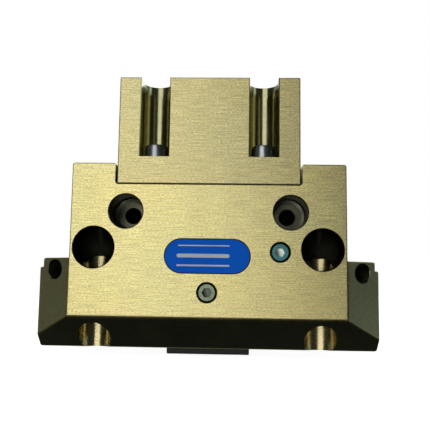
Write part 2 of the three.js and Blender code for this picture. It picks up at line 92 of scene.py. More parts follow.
# ---- housing and spring housing, as in the CAD frame ----
FACE_HALF = 40.0  # half width of the front face
BEVEL = 9.2
WING_TOP = 28.3
WING_SETBACK = 5.65
NOTCH_WIDTH = 1.15
NOTCH_HEIGHT = 2.6
RECESS_HALF = 27.3
RECESS_FLOOR = BLOCK_LOW.z - GAP
MOUNT_HOLE = {"x": 33.0, "z": 31.4, "radius": 6.0, "depth": 8.7}
AIR_PORT = {"x": 23.9, "z": 42.0, "radius": 5.0, "step": 10.4, "inner": 4.1, "depth": 13.5}
AIR_PORT_SLOPE = 0.3
AIR_PORT_THREAD = {"radius": 2.1, "break": 0.5, "start": 0.4, "end": 20.0}
WING_HOLE = {"x": 44.75, "z": 24.9, "radius": 2.7, "start": 0.5, "depth": 9.0}
VERTICAL_HOLE = {"x": 33.0, "y": 18.75, "wide": 4.75, "wide_top": 31.4, "radius": 2.75, "mouth": 2.0}
AIR_PASSAGE = {"radius": 1.2, "length": 6.0}
JAW_GUIDE = {"neck": 7.3, "neck_top": 7.5, "flange": 12.3, "flange_top": 14.3}
HOOK_ROOM = {"reach": 38.3, "half": 9.3, "top": 26.3}
WEDGE_ROOM = {"reach": 19.05, "half": 7.0}
GROOVE = {"x": 16.1, "radius": 4.26, "axis": 5.7, "floor": 58.2}
GROOVE_RELIEF = {"radius": 4.61, "height": 0.9}  # widening at the foot, round the screw head
PLUG_HOLE = {"radius": 2.8, "depth": 6.5}
SIDE_HOLE = {"radius": 2.3, "depth": 5.5}
DRILL_TIP = 0.6  # height of a drill's cone for a radius of one
FINE_THREAD = {"pitch": 0.9, "depth": 0.25}
ROOF = 3.0  # of the spring housing
BORE_RADIUS = 18.0
ROD_BORE = 6.3
SEAL_WALL = (38.5, 42.3)
ROD_SEAL_SEAT = {"outer": 9.0, "wall": 0.8}
EDGE_WIDE = 0.8  # break of the edge between face and bevel, and of the corners seen from the front
EDGE_FINE = 0.35  # break of the other outer edges
MOUTH = 0.25  # break at the mouths of holes

# ---- screws, plugs and label ----
BLOCK_SCREW = {"radius": 2.0, "head_radius": 3.5, "head_height": 4.0, "socket": 3.0, "flutes": 48}
COVER_SCREW = {"radius": 1.0, "head_radius": 1.6, "head_height": 1.3, "socket": 1.2, "flutes": 0}
BLOCK_SCREW_HOLE = BLOCK_SCREW["radius"] + GAP
COVER_SCREW_HOLE = COVER_SCREW["radius"] + GAP
COVER_SCREW_SEAT = {"radius": 1.8, "depth": 1.8}
HEAD_ROUND = [(1.0, 0.8), (0.96, 0.93), (0.83, 1.0)]  # shares of head radius and head height
HEAD_SOCKET_DEPTH = 0.55  # share of the head's height
PLUG_SOCKET_DEPTH = 0.9  # share of the plug's radius
SCREW_POINT = (0.3, 0.4)  # break of a screw's far end, across and along
KNURL_DEPTH = 0.03
FRONT_PLUG = {"radius": 2.5, "socket": 2.6}
SIDE_PLUG = {"radius": 2.0, "socket": 2.0}
PLUG_CREST = 0.14  # how far a plug's thread stands out of the plain CAD plug
PLUG_FACE = 0.74  # share of a plug's radius inside its rim
LABEL_INSET = 0.05  # of the plate behind the front of its CAD node
LABEL_EDGE = 0.12
RULE_PROUD = 0.03  # of the pale rules in front of the plate
RULE_ROOT = 0.1
# pale rules on the label: place right of and above its middle, half length, half thickness
LABEL_RULES = [(-1.0, 3.0, 7.4, 0.16), (-1.2, 0.1, 7.6, 0.55), (-1.2, -2.7, 7.6, 0.24)]

# ---- jaws, drive and springs ----
WEDGE_CORE = 4.0  # half width of the wedge hook's core at its top
WEDGE_TOP = 26.0
WEDGE_SLOPE = 10.0 / 12.0
JAW_NECK = {"inner": 13.0, "half": 7.0, "top": 8.0}
JAW_FLANGE = {"half": 12.0, "low": 7.5, "floor": 8.2, "top": 14.0}
JAW_HOOK = {"half": 9.0, "outer": 28.0}
JAW_EDGE = 0.3
JAW_LIP = 0.4  # clearance between a jaw and the wedge's flank
# slot for the wedge's rail: start and end outside the flank, half width
RAIL_SLOTS = [(0, 2.8, 2.8), (2.1, 5.4, 6.8)]
RAIL_SLOT_TOP = 27.0
FINGER_HOLE = {"seat": 4.0, "seat_depth": 1.5, "neck": 2.9, "radius": 2.6, "start": 1.8, "end": 5.4}
FINGER_HOLE_X = (19.0, 33.5)
PISTON = {"radius": 17.7, "bore": 3.6, "seat": 5.4, "seat_depth": 4.7, "lead": 1.5}
# grooves of seal and magnet: root radius, lower and upper edge above the piston's foot
PISTON_GROOVES = [(15.4, 1.8, 4.4), (15.2, 5.2, 7.5)]
PISTON_SEAL = [(15.7, 2.1), (17.2, 2.1), (17.8, 2.5), (17.8, 3.5), (17.2, 4.1), (15.7, 4.1)]
PISTON_MAGNET = {"inner": 15.5, "outer": 17.4, "low": 5.5, "high": 7.2}
ROD_SEAL = {"inner": 6.3, "outer": 8.7, "notch": (0.3, 0.5)}
WIRE_SHARE = 0.98  # of the CAD wire, so that the round coil stays inside it
SPRINGS = {"outer_spring": {"turns": 5, "wire": 1.5}, "inner_spring": {"turns": 7, "wire": 1.0}}

# material slots of a scratch mesh, which booleans keep
SLOT_COUNT = 8
FACE, EDGE, BORE, DARK, UNDER, LABEL_GAP_SHADE, HOLE, DEEP = range(SLOT_COUNT)


# ---- light and camera ----
FLOOR_GLOW = 0.92
FLOOR_RADIUS = 30.0
FLOOR_DROP = 0.0002
WORLD_FRONT = 0.045
WORLD_BACK = 0.5
WORLD_BELOW = 0.15
WORLD_TINT = (0.95, 1.05, 1.0)
LIGHT_TARGET = Vector((0.0, 0.0, 0.035))
LIGHT_DISTANCE = 1.15
WHITE = (1.0, 1.0, 1.0)
WARM = (1.0, 0.96, 0.72)
COOL = (0.84, 1.0, 1.08)
# soft panels: name, azimuth and elevation seen from the object (azimuth 0 is in front),
# size, radiance, colour
LIGHTS = [
    ("key_low", -7, -13, (0.72, 0.34), 2.65, WHITE),
    ("key_middle", -15, 12, (0.74, 0.56), 1.65, WHITE),
    ("key_high", -20, 49, (0.50, 0.74), 1.35, WHITE),
    ("left_low", -74, -6, (0.40, 0.40), 0.2, WARM),
    ("right_low", 75, -12, (0.36, 0.32), 0.6, COOL),
    ("right_high", 75, 22, (0.36, 0.32), 1.2, COOL),
    ("back", 160, 24, (0.9, 0.7), 1.1, WHITE),
    ("back_high", 140, 65, (0.6, 0.5), 1.2, WHITE),
]
CAMERA = {
    "sensor": 36,
    "lens": 49.5,
    "place": (0.00777, -0.19444, 0.0216),
    "turn": (96.555, -0.852, 1.830),
}


# ---- mesh helpers ----
def temp_object(bm, material=0):
    """A bmesh as a scratch object in millimetres."""
    bmesh.ops.recalc_face_normals(bm, faces=bm.faces[:])
    for face in bm.faces:
        face.material_index = material
    mesh = bpy.data.meshes.new("scratch")
    bm.to_mesh(mesh)
    bm.free()
    for _ in range(SLOT_COUNT):
        mesh.materials.append(None)
    return scratch_object(mesh)


def scratch_object(mesh):
    obj = bpy.data.objects.new("scratch", mesh)
    bpy.context.scene.collection.objects.link(obj)
    return obj


def box(x, y, z, material=BORE):
    bm = bmesh.new()
    bmesh.ops.create_cube(bm, size=1.0)
    size = (abs(x[1] - x[0]), abs(y[1] - y[0]), abs(z[1] - z[0]))
    middle = ((x[0] + x[1]) / 2, (y[0] + y[1]) / 2, (z[0] + z[1]) / 2)
    place = Matrix.Translation(middle) @ Matrix.Diagonal((*size, 1))
    bmesh.ops.transform(bm, matrix=place, verts=bm.verts)
    return temp_object(bm, material)


def block(low, high, material):
    """A box between its lowest and highest corner."""
    return box((low.x, high.x), (low.y, high.y), (low.z, high.z), material)


def span(reach):
    return (-reach, reach)


def prism(outline, start, end, axis="z", material=BORE):
    """A prism on an outline of (x, y) points for axis z, (x, z) for y or (y, z) for x."""
    place = {
        "z": lambda p, t: (p[0], p[1], t),
        "y": lambda p, t: (p[0], t, p[1]),
        "x": lambda p, t: (t, p[0], p[1]),
    }[axis]
    bm = bmesh.new()
    rings = [[bm.verts.new(place(p, t)) for p in outline] for t in (start, end)]
    bm.faces.new(rings[0])
    bm.faces.new(rings[1])
    for i in range(len(outline)):
        j = (i + 1) % len(outline)
        bm.faces.new((rings[0][i], rings[0][j], rings[1][j], rings[1][i]))
    return temp_object(bm, material)


def lathe_mesh(profile, sides):
    """A bmesh turned about Z from (radius, height) points.

    A profile that starts off the axis makes a closed ring.
    """
    bm = bmesh.new()
    closed = profile[0][0] > 0
    rows = []
    for radius, height in profile:
        if radius <= 0:
            rows.append([bm.verts.new((0, 0, height))])
            continue
        turns = [2 * math.pi * i / sides for i in range(sides)]
        rows.append([bm.verts.new((radius * math.cos(a), radius * math.sin(a), height)) for a in turns])
    pairs = list(zip(rows, rows[1:]))
    if closed:
        pairs.append((rows[-1], rows[0]))
    for lower, upper in pairs:
        for i in range(sides):
            j = (i + 1) % sides
            below = [lower[i % len(lower)], lower[j % len(lower)]]
            above = [upper[j % len(upper)], upper[i % len(upper)]]
            unique = list(dict.fromkeys(below + above))
            if len(unique) > 2:
                bm.faces.new(unique)
    return bm


def turned(profile, sides=64, origin=(0, 0, 0), direction=(0, 0, 1), material=BORE):
    """A lathe solid whose axis runs from origin along direction."""
    bm = lathe_mesh(profile, sides)
    turn = Vector((0, 0, 1)).rotation_difference(Vector(direction)).to_matrix().to_4x4()
    bmesh.ops.transform(bm, matrix=Matrix.Translation(origin) @ turn, verts=bm.verts)
    return temp_object(bm, material)


def bar(radius, start, end, sides=64, material=BORE):
    """A round bar between two points."""
    along = Vector(end) - Vector(start)
    length = along.length
    return turned([(0, 0), (radius, 0), (radius, length), (0, length)], sides, start, along, material)


def upright_bar(radius, x, y, low, high, sides=32, material=BORE):
    return bar(radius, (x, y, low), (x, y, high), sides, material)


# by default the hole walls take the hole slot, whose dark tone is painted shade
def drill(mouth, inward, steps, sides=72, mouth_break=MOUTH, tip=True, material=HOLE):
    """Cutter for a hole with a chamfered mouth and a cone at its blind end.

    The steps are (radius, depth) points down its wall.
    """
    first = steps[0][0]
    radius, depth = steps[-1]
    end = (0, depth + (radius * DRILL_TIP if tip else 0))
    profile = [(0, -PAST), (first + mouth_break + PAST, -PAST), (first, mouth_break), *steps, end]
    return turned(profile, sides, mouth, inward, material)


def ring_cutter(inner, outer, low, high, sides=64):
    """Cutter for a ring-shaped seat about Z."""
    return turned([(inner, low), (outer, low), (outer, high), (inner, high)], sides)


def evaluated(obj):
    """The mesh of an object with its modifiers applied; the object is removed."""
    bpy.context.view_layer.update()
    graph = bpy.context.evaluated_depsgraph_get()
    mesh = bpy.data.meshes.new_from_object(obj.evaluated_get(graph))
    remove(obj)
    return mesh


def remove(*objects):
    for obj in objects:
        mesh = obj.data
        bpy.data.objects.remove(obj)
        bpy.data.meshes.remove(mesh)


def soften(obj, width, segments=3):
    """Break the edges of a scratch object."""
    bevel = obj.modifiers.new("broken_edges", "BEVEL")
    bevel.width = width
    bevel.segments = segments
    return bevel


def add_boolean(obj, other, operation="DIFFERENCE"):
    modifier = obj.modifiers.new(operation.lower(), "BOOLEAN")
    modifier.operation = operation
    modifier.solver = "EXACT"
    modifier.object = other


def carve(base, cutters, unions=()):
    """The base with unions added and cutters taken away, as a mesh; removes the scratch objects."""
    for other in unions:
        add_boolean(base, other, "UNION")
    for other in cutters:
        add_boolean(base, other)
    mesh = evaluated(base)
    remove(*unions, *cutters)
    return mesh


def piece(name, mesh, materials, body, replaces=(), smooth=35.0):
    """A finished piece in metres: shading, materials, body and the CAD nodes it stands for."""
    mesh.name = name
    mesh.transform(Matrix.Scale(MM, 4))
    while len(mesh.materials) > len(materials):
        mesh.materials.pop()
    for i, material in enumerate(materials):
        mesh.materials[i] = material
    mesh.shade_smooth()
    mesh.set_sharp_from_angle(angle=math.radians(smooth))
    obj = bpy.data.objects.new(name, mesh)
    bpy.context.scene.collection.objects.link(obj)
    weighted = obj.modifiers.new("flat_faces", "WEIGHTED_NORMAL")
    weighted.keep_sharp = True
    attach(obj, body)
    if replaces:
        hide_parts(*replaces)
    return obj


def shade(colour, factor):
    return tuple(min(1.0, c * factor) for c in colour)


def arc(centre, radius, start, end, count):
    """Points on an arc, angles in degrees."""
    cx, cy = centre
    turns = [math.radians(start + (end - start) * i / count) for i in range(count + 1)]
    return [(cx + radius * math.cos(a), cy + radius * math.sin(a)) for a in turns]


# ---- materials ----
CHAMPAGNE = (0.83, 0.705, 0.325)
CHAMPAGNE_GREEN = (0.70, 0.62, 0.305)
# milled finish for the wings and the recess walls, darkened with painted shade
MILLED_AND_SHADED = (0.36, 0.355, 0.20)
# noise is given in features per metre along X, Y and Z, heights in metres
BRUSH_LINES = (160.0, 3400.0, 3400.0)
BRUSH_CONTRAST = 0.28
BRUSH_BUMP = 0.75
BRUSH_HEIGHT = 0.00008
BRUSH_SPREAD = 0.75
GRAIN_LINES = (1500.0, 4200.0, 4200.0)
GRAIN_CONTRAST = 0.2
GRAIN_HEIGHT = 0.00004
COLOUR_DRIFT = (28.0, 40.0, 40.0)
MARK_CONTRAST = 0.07
MARK_HEIGHT = 0.00005


class Nodes:
    """Short helpers for one material's node tree."""

    def __init__(self, name):
        self.material = bpy.data.materials.new(name)
        self.material.use_nodes = True
        self.tree = self.material.node_tree
        self.tree.nodes.clear()
        self.shader = self.add("ShaderNodeBsdfPrincipled")
        self.output = self.add("ShaderNodeOutputMaterial")
        self.link(self.shader, "BSDF", self.output, "Surface")

    def add(self, kind, **settings):
        node = self.tree.nodes.new(kind)
        for key, value in settings.items():
            setattr(node, key, value)
        return node

    def link(self, source, output, target, socket):
        self.tree.links.new(source.outputs[output], target.inputs[socket])

    def set(self, **values):
        for key, value in values.items():
            self.shader.inputs[key.replace("_", " ")].default_value = value

    def noise(self, stretch, detail=2.0, roughness=0.5):
        """Noise over object coordinates; stretch counts features per metre along X, Y and Z."""
        coordinates = self.add("ShaderNodeTexCoord")
        mapping = self.add("ShaderNodeMapping")
        mapping.inputs["Scale"].default_value = stretch
        self.link(coordinates, "Object", mapping, "Vector")
        noise = self.add("ShaderNodeTexNoise")
        noise.inputs["Scale"].default_value = 1.0
        noise.inputs["Detail"].default_value = detail
        noise.inputs["Roughness"].default_value = roughness
        self.link(mapping, "Vector", noise, "Vector")
        return noise

    def ramp(self, source, output, stops):
        """A colour ramp on a value; stops are (position, grey or colour)."""
        ramp = self.add("ShaderNodeValToRGB")
        while len(ramp.color_ramp.elements) < len(stops):
            ramp.color_ramp.elements.new(0.5)
        for element, (position, value) in zip(ramp.color_ramp.elements, stops):
            element.position = position
            colour = (value,) * 3 if isinstance(value, float) else value
            element.color = (*colour, 1.0)
        self.link(source, output, ramp, "Fac")
        return ramp

    def mix(self, kind, factor, first, second):
        """A colour mix; factor, first and second are numbers, colours or (node, output) pairs."""
        mix = self.add("ShaderNodeMix", data_type="RGBA", blend_type=kind)
        for index, value in ((0, factor), (6, first), (7, second)):
            if isinstance(value, tuple) and hasattr(value[0], "outputs"):
                self.tree.links.new(value[0].outputs[value[1]], mix.inputs[index])
            elif index == 0:
                mix.inputs[index].default_value = value
            else:
                mix.inputs[index].default_value = (*value, 1.0)
        return mix

    def spread_across(self, lines):
        """Highlights spread across brush lines that run along the given direction."""
        geometry = self.add("ShaderNodeNewGeometry")
        cross = self.add("ShaderNodeVectorMath", operation="CROSS_PRODUCT")
        cross.inputs[1].default_value = lines
        self.link(geometry, "Normal", cross, 0)
        self.link(cross, 0, self.shader, "Tangent")

    def bump(self, source, output, strength, distance, under=None):
        bump = self.add("ShaderNodeBump")
        bump.inputs["Strength"].default_value = strength
        bump.inputs["Distance"].default_value = distance
        self.link(source, output, bump, "Height")
        if under is not None:
            self.link(under, "Normal", bump, "Normal")
        return bump


def brushed_metal(name, colour, roughness):
    """Metal brushed along X: lines, sparkling grain and slow colour drift."""
    n = Nodes(name)
    brush = n.noise(BRUSH_LINES, detail=3.0, roughness=0.6)
    sparkle = n.noise(GRAIN_LINES, detail=1.0)
    drift = n.noise(COLOUR_DRIFT, detail=2.0)
    dim, bright = shade(colour, 1 - BRUSH_CONTRAST), shade(colour, 1 + BRUSH_CONTRAST)
    lined = n.ramp(brush, "Fac", [(0.3, dim), (0.7, bright)])
    grained = n.ramp(sparkle, "Fac", [(0.35, 1.0 - GRAIN_CONTRAST), (0.65, 1.0 + GRAIN_CONTRAST)])
    drifted = n.ramp(drift, "Fac", [(0.35, (0.95, 0.97, 1.0)), (0.65, (1.0, 0.985, 0.95))])
    first = n.mix("MULTIPLY", 1.0, (lined, "Color"), (grained, "Color"))
    final = n.mix("MULTIPLY", 1.0, (first, 2), (drifted, "Color"))
    n.link(final, 2, n.shader, "Base Color")
    rough = n.ramp(brush, "Fac", [(0.25, roughness - 0.04), (0.75, roughness + 0.05)])
    n.link(rough, "Color", n.shader, "Roughness")
    fine = n.bump(sparkle, "Fac", BRUSH_BUMP, GRAIN_HEIGHT)
    top = n.bump(brush, "Fac", BRUSH_BUMP, BRUSH_HEIGHT, under=fine)
    n.link(top, "Normal", n.shader, "Normal")
    n.set(Metallic=1.0, Anisotropic=BRUSH_SPREAD)
    n.spread_across((1.0, 0.02, 0.0))
    return n.material


def machined_metal(name, colour, roughness, marks=(900.0, 900.0, 900.0), relief=0.08):
    """Milled or drilled metal: faint tool marks, a little cloudiness and fine roughness changes."""
    n = Nodes(name)
    tool = n.noise(marks, detail=2.0)
    cloud = n.noise((90.0, 90.0, 90.0), detail=3.0)
    dim, bright = shade(colour, 1 - MARK_CONTRAST), shade(colour, 1 + MARK_CONTRAST)
    marked = n.ramp(tool, "Fac", [(0.35, dim), (0.65, bright)])
    clouded = n.ramp(cloud, "Fac", [(0.3, 0.9), (0.7, 1.0)])
    final = n.mix("MULTIPLY", 1.0, (marked, "Color"), (clouded, "Color"))
    n.link(final, 2, n.shader, "Base Color")
    rough = n.ramp(cloud, "Fac", [(0.3, roughness - 0.05), (0.7, roughness + 0.06)])
    n.link(rough, "Color", n.shader, "Roughness")
    raised = n.bump(tool, "Fac", relief, MARK_HEIGHT)
    n.link(raised, "Normal", n.shader, "Normal")
    n.set(Metallic=1.0)
    return n.material


def plastic(name, colour, roughness, grain=1800.0, strength=0.1, mottle=0.1, shine=0.3):
    """Rubber, paint or foil: even colour with fine grain and faint blotches."""
    n = Nodes(name)
    fine = n.noise((grain, grain, grain), detail=2.0)
    cloud = n.noise((120.0, 120.0, 120.0), detail=3.0)
    tinted = n.ramp(cloud, "Fac", [(0.3, shade(colour, 1 - mottle)), (0.7, shade(colour, 1 + mottle))])
    n.link(tinted, "Color", n.shader, "Base Color")
    rough = n.ramp(fine, "Fac", [(0.3, roughness - 0.06), (0.7, roughness + 0.06)])
    n.link(rough, "Color", n.shader, "Roughness")
    raised = n.bump(fine, "Fac", strength, MARK_HEIGHT)
    n.link(raised, "Normal", n.shader, "Normal")
    n.set(Metallic=0.0, Specular_IOR_Level=shine)
    return n.material


FINISHES = {
    "face": brushed_metal("champagne_brushed", CHAMPAGNE, 0.44),
    # edge breaks at half the face's tone: painted shade for the dark reflections along the edges
    "edge": machined_metal("champagne_edge", shade(CHAMPAGNE, 0.5), 0.3),
    # bores and grooves at about half the face's tone: painted shade inside the hollows
    "bore": machined_metal(
        "champagne_bore", (0.42, 0.36, 0.19), 0.19, marks=(2000.0, 2000.0, 2400.0), relief=0.6
    ),
    # painted shade: walls of the air ports and drilled holes, nearly black olive
    "hole": machined_metal("olive_hole_shade", (0.08, 0.08, 0.055), 0.26),
    # painted shade: deep holes, threads and mount holes, almost black
    "deep": machined_metal("deep_hole_shade", (0.010, 0.010, 0.007), 0.5),
    # wings and recess walls: milled, and darker than the face with painted shade
    "dark": machined_metal("olive_milled_and_shaded", MILLED_AND_SHADED, 0.36),
    # painted shade: faces that look down, the bevel and the underside, get a far darker tone than the
    # face
    "under": machined_metal("olive_shaded_underside", (0.17, 0.18, 0.095), 0.33),
    # painted shadow in the gap round the label plate
    "label_gap_shade": plastic("pocket_shadow", (0.006, 0.006, 0.004), 0.6),
    "block_face": brushed_metal("green_champagne_brushed", CHAMPAGNE_GREEN, 0.46),
    # edge breaks darker than the face: painted shade for the dark reflections along the edges
    "block_edge": machined_metal("green_champagne_edge", shade(CHAMPAGNE_GREEN, 0.6), 0.32),
    # groove and bore walls darker than the block's face: painted shade inside the hollows
    "block_bore": machined_metal("green_champagne_bore", (0.37, 0.35, 0.19), 0.18, relief=0.03),
    "jaw": brushed_metal("ground_steel", (0.48, 0.485, 0.49), 0.34),
    "jaw_bore": machined_metal("steel_bore", (0.3, 0.3, 0.31), 0.35),
    "wedge": machined_metal("dark_steel", (0.22, 0.225, 0.235), 0.36),
    "piston": machined_metal("turned_aluminium", (0.7, 0.71, 0.72), 0.28, marks=(200.0, 200.0, 4000.0)),
    "screw": machined_metal("blackened_steel", (0.36, 0.385, 0.40), 0.27),
    "plug": machined_metal("plated_steel", (0.19, 0.23, 0.15), 0.36),
    "plug_teal": machined_metal("teal_sealed_steel", (0.065, 0.19, 0.20), 0.36),
    # plug sockets: one steel in a shaded copy and a lit copy, the dark one painted shade, the bright
    # one a painted highlight
    "socket": machined_metal("socket_painted_shade", (0.10, 0.12, 0.10), 0.35),
    "socket_bright": machined_metal("socket_painted_highlight", (0.42, 0.50, 0.44), 0.35),
    "spring": machined_metal("drawn_wire", (0.36, 0.37, 0.39), 0.30),
    "rubber": plastic("seal_rubber", (0.018, 0.018, 0.019), 0.55, grain=2500.0, strength=0.2),
    "magnet": plastic("bonded_magnet", (0.035, 0.035, 0.04), 0.5, grain=3000.0, strength=0.25),
    "cover": plastic(
        "black_satin_paint", (0.012, 0.015, 0.012), 0.42, grain=2200.0, strength=0.12, shine=0.2
    ),
    "label": plastic(
        "blue_foil", (0.002, 0.15, 0.85), 0.5, grain=900.0, strength=0.04, mottle=0.03, shine=0.06
    ),
    "rule": plastic("pale_print", (0.72, 0.78, 0.84), 0.5, grain=2400.0, strength=0.05),
}


# ---- housing ----
def wing_outline():
    """Outline in XY: the front face, the right wing, then the same turned half round."""
    edge_y = HALF_DEPTH - WING_SETBACK
    front = [(-FACE_HALF, -HALF_DEPTH), (FACE_HALF, -HALF_DEPTH)]
    wing = [(HALF_WIDTH, -edge_y), (HALF_WIDTH, edge_y)]
    return front + wing + [(-x, -y) for x, y in front + wing]


def housing_blank():
    """The outer block with its outer edges broken, before any hole is cut."""
    wings = prism(wing_outline(), JAW_SIDE, WING_TOP, "z", FACE)
    body = box((-FACE_HALF, FACE_HALF), (-HALF_DEPTH, HALF_DEPTH), (JAW_SIDE, HOUSING_TOP), FACE)
    cutters = []
    for side in BOTH:
        outer = side * (HALF_DEPTH + PAST)
        slope_end = side * (HALF_DEPTH - BEVEL - PAST)
        outline = [
            (outer, JAW_SIDE + BEVEL + PAST),
            (outer, JAW_SIDE - PAST),
            (slope_end, JAW_SIDE - PAST),
        ]
        reach = HALF_WIDTH + PAST
        cutters.append(prism(outline, -reach, reach, "x", FACE))
        cutters.append(box(
            (side * (HALF_WIDTH - NOTCH_WIDTH), side * (HALF_WIDTH + PAST)),
            (-HALF_DEPTH, HALF_DEPTH),
            (WING_TOP - NOTCH_HEIGHT, WING_TOP + PAST),
            FACE,
        ))
    mesh = carve(wings, cutters, [body])
    bm = bmesh.new()
    bm.from_mesh(mesh)
    bmesh.ops.remove_doubles(bm, verts=bm.verts, dist=1e-4)
    bmesh.ops.dissolve_limit(bm, angle_limit=math.radians(0.5), verts=bm.verts, edges=bm.edges)
    for face in bm.faces:
        face.material_index = outer_material(face.calc_center_median(), face.normal)
    weights = bm.edges.layers.float.new("bevel_weight_edge")
    for edge in bm.edges:
        if len(edge.link_faces) < 2 or edge.calc_face_angle_signed() < math.radians(10):
            continue
        first, second = (v.co for v in edge.verts)
        on_lip = all(abs(z - JAW_SIDE - BEVEL) < 0.1 for z in (first.z, second.z))
        along_depth = abs((second - first).normalized().y) > 0.99
        edge[weights] = 1.0 if on_lip or along_depth else EDGE_FINE / EDGE_WIDE
    bm.to_mesh(mesh)
    bm.free()
    blank = scratch_object(mesh)
    bevel = soften(blank, EDGE_WIDE)
    bevel.limit_method = "WEIGHT"
    # the broken edges take the edge slot, darkened with painted shade
    bevel.material = EDGE
    return blank


def outer_material(centre, normal):
    """Brushed on plain outer faces, painted shade on the milled wings, darkest painted shade on faces
    that look down.
    """
    if normal.z < -0.3:
        return UNDER
    on_wing = abs(centre.x) > FACE_HALF + 0.5
    return DARK if on_wing else FACE


def cavities():
    """Room for jaws, wedge hook, rod, piston and spring housing."""
    across = span(HALF_WIDTH + PAST)
    guide = JAW_GUIDE
    hook_floor = guide["flange_top"] - GAP
    wedge_floor = HOOK_ROOM["top"] - 2 * GAP
    recess = rounded_slot(RECESS_HALF, RECESS_FLOOR, HOUSING_TOP, 1.0)
    cover_low, cover_high = box_mm("centre_cover")
    seal_low, seal_high = box_mm("spring_housing_seal")
    seal_outer = seal_high.x + GAP
    seal_inner = seal_outer - (seal_high.z - seal_low.z) - 2 * GAP
    transfer_low, transfer_high = box_mm("air_transfer_seal")
    transfer = centre_mm("air_transfer_seal")
    transfer_radius = (transfer_high.x - transfer_low.x) / 2
    transfer_floor = transfer_low.z - GAP
    passage_end = transfer_floor - AIR_PASSAGE["length"]
    x, y = transfer.x, transfer.y
    return [
        box(across, span(guide["neck"]), (JAW_SIDE - PAST, guide["neck_top"])),
        box(across, span(guide["flange"]), (guide["neck_top"] - GAP, guide["flange_top"])),
        box(span(HOOK_ROOM["reach"]), span(HOOK_ROOM["half"]), (hook_floor, HOOK_ROOM["top"])),
        box(span(WEDGE_ROOM["reach"]), span(WEDGE_ROOM["half"]), (wedge_floor, SEAL_WALL[0])),
        upright_bar(ROD_BORE, 0, 0, SEAL_WALL[0] - PAST, SEAL_WALL[1] + PAST, 64),
        ring_cutter(
            ROD_BORE - GAP,
            ROD_SEAL_SEAT["outer"],
            SEAL_WALL[0] + ROD_SEAL_SEAT["wall"],
            SEAL_WALL[1] - ROD_SEAL_SEAT["wall"],
        ),
        upright_bar(BORE_RADIUS, 0, 0, SEAL_WALL[1], HOUSING_TOP, 96),
        # the recess walls take the milled finish darkened with painted shade
        prism(recess, -HALF_DEPTH - PAST, HALF_DEPTH + PAST, "y", DARK),
        ring_cutter(seal_inner, seal_outer, seal_low.z - GAP, RECESS_FLOOR + PAST, 96),
        upright_bar(transfer_radius + GAP, x, y, transfer_floor, RECESS_FLOOR + PAST, 64),
        upright_bar(AIR_PASSAGE["radius"], x, y, passage_end, transfer_floor + PAST),
        box(
            (cover_low.x - GAP, cover_high.x + GAP),
            (cover_low.y - GAP, cover_high.y + GAP),
            (JAW_SIDE - PAST, cover_high.z + GAP),
        ),
    ]


def rounded_slot(half, floor, top, radius):
    """Outline in XZ of the recess: round inner corners, chamfered mouth."""
    mouth = 0.35
    left = arc((-half + radius, floor + radius), radius, 180, 270, 6)
    right = arc((half - radius, floor + radius), radius, 270, 360, 6)
    return [
        (-half - mouth - PAST, top + PAST),
        (-half, top - mouth),
        *left,
        *right,
        (half, top - mouth),
        (half + mouth + PAST, top + PAST),
    ]


def thread(radius, start, end, pitch=0.8, depth=0.3):
    """Thread-like rings down a hole: crests at the radius, roots cut into the wall."""
    points = []
    turns = int((end - start) / pitch)
    for i in range(turns):
        top = start + i * pitch
        points += [(radius, top), (radius + depth, top + pitch * 0.5)]
    points.append((radius, start + turns * pitch))
    return points


def tapped(mouth, inward, radius, start, end):
    """Cutter for the threaded part of a hole, between two depths below its mouth."""
    above = start - GAP
    profile = [(0, above), (radius, above), *thread(radius, start, end), (0, end + radius * DRILL_TIP)]
    return turned(profile, 64, mouth, inward, DEEP)


